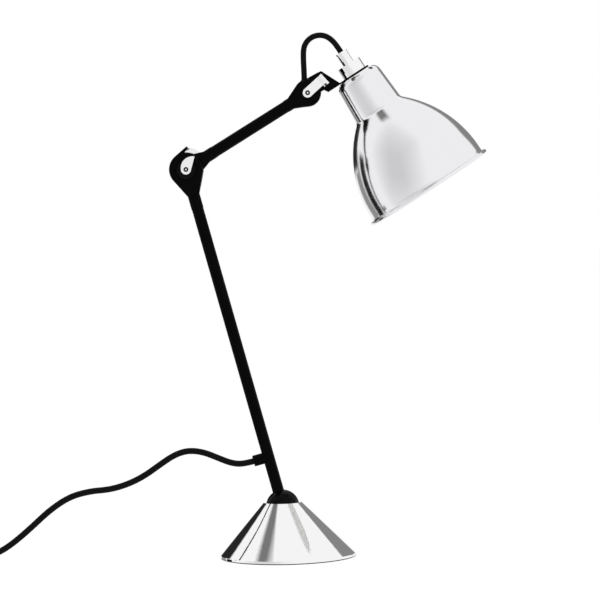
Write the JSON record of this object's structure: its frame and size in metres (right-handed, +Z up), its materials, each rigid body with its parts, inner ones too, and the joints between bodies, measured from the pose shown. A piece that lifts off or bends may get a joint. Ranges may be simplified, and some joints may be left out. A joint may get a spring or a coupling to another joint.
{
  "type": "architect lamp",
  "caption": "Desk lamp with a weighted chrome cone base on a ball joint, two black arms with lever-locked joints and a bell-shaped satin chrome shade.",
  "frame": {"origin": "middle of the underside of the base", "axes": "+Z up, +X towards the shade, the arms move in the XZ plane, the cord leaves towards -X"},
  "size_m": [0.6945, 0.173, 0.5352],
  "materials": {
    "chrome": "polished",
    "satin_chrome": "satin",
    "gloss_black": "gloss",
    "satin_black": "satin",
    "black_plastic": "satin",
    "rocker_plastic": "gloss",
    "cord_black": "matte",
    "wire_sheath": "matte",
    "steel": "turned",
    "iron": "as cast",
    "felt": "felt",
    "brass": "turned",
    "cap_metal": "pressed",
    "bulb_glass": "frosted",
    "nylon": "moulded"
  },
  "bodies": {
    "base": {"base_shell": "chrome", "base_weight": "iron", "base_pad": "felt"},
    "turret": {"ball_seat": "steel", "seat_spring": "steel", "mains_cord": "cord_black", "switch_body": "black_plastic", "cord_link": "cord_black", "cord_coil": "cord_black", "cord_tie": "cord_black", "plug_relief": "cord_black", "plug_body": "cord_black", "plug_pins": "brass"},
    "lower_arm": {"ball": "gloss_black", "lower_tube": "satin_black", "cord_gland": "black_plastic", "lower_wire": "wire_sheath", "lower_knuckle": "satin_black", "elbow_washers": "nylon", "lever_washers": "nylon", "elbow_bolt": "chrome", "elbow_rear_tab": "chrome"},
    "elbow_lever": {"elbow_lever": "chrome"},
    "upper_arm": {"upper_knuckle": "satin_black", "upper_tube": "satin_black", "upper_wire": "wire_sheath", "wrist_fork": "satin_black", "wrist_washer": "nylon", "wrist_spacer": "nylon", "wrist_bolt": "chrome", "wrist_nut": "chrome", "cord_bush": "cord_black"},
    "wrist_lever": {"wrist_lever": "chrome"},
    "head": {"head_bracket": "satin_black", "shade": "satin_chrome", "collar": "chrome", "sleeve": "chrome", "nipple": "steel", "lock_nut": "steel", "lampholder": "black_plastic", "lampholder_contact": "brass", "bulb_cap": "cap_metal", "bulb": "bulb_glass", "head_cord": "cord_black"},
    "rocker": {"switch_rocker": "rocker_plastic"}
  },
  "joints": [
    {"name": "base_swivel", "type": "hinge", "parent": "base", "child": "turret", "pos_m": [-0.0045, 0, 0.0514], "axis": [0, 0, 1], "continuous": true},
    {"name": "base_tilt", "type": "hinge", "parent": "turret", "child": "lower_arm", "pos_m": [-0.0045, 0, 0.0514], "axis": [0, 1, 0], "range_deg": [-25, 50], "deforming": ["mains_cord"]},
    {"name": "elbow_bend", "type": "hinge", "parent": "lower_arm", "child": "upper_arm", "pos_m": [-0.09378, 0, 0.39912], "axis": [0, 1, 0], "range_deg": [-27, 35]},
    {"name": "wrist_tilt", "type": "hinge", "parent": "upper_arm", "child": "head", "pos_m": [0.03193, 0, 0.47376], "axis": [0, 1, 0], "range_deg": [-60, 25], "deforming": ["head_cord"]},
    {"name": "elbow_lever_turn", "type": "hinge", "parent": "lower_arm", "child": "elbow_lever", "pos_m": [-0.09378, 0, 0.39912], "axis": [0, 1, 0], "range_deg": [-60, 15]},
    {"name": "wrist_lever_turn", "type": "hinge", "parent": "upper_arm", "child": "wrist_lever", "pos_m": [0.03193, 0, 0.47376], "axis": [0, 1, 0], "range_deg": [-50, 20]},
    {"name": "switch_rock", "type": "hinge", "parent": "turret", "child": "rocker", "pos_m": [-0.359, 0, 0.012], "axis": [0, 1, 0], "range_deg": [-14, 0]}
  ]
}
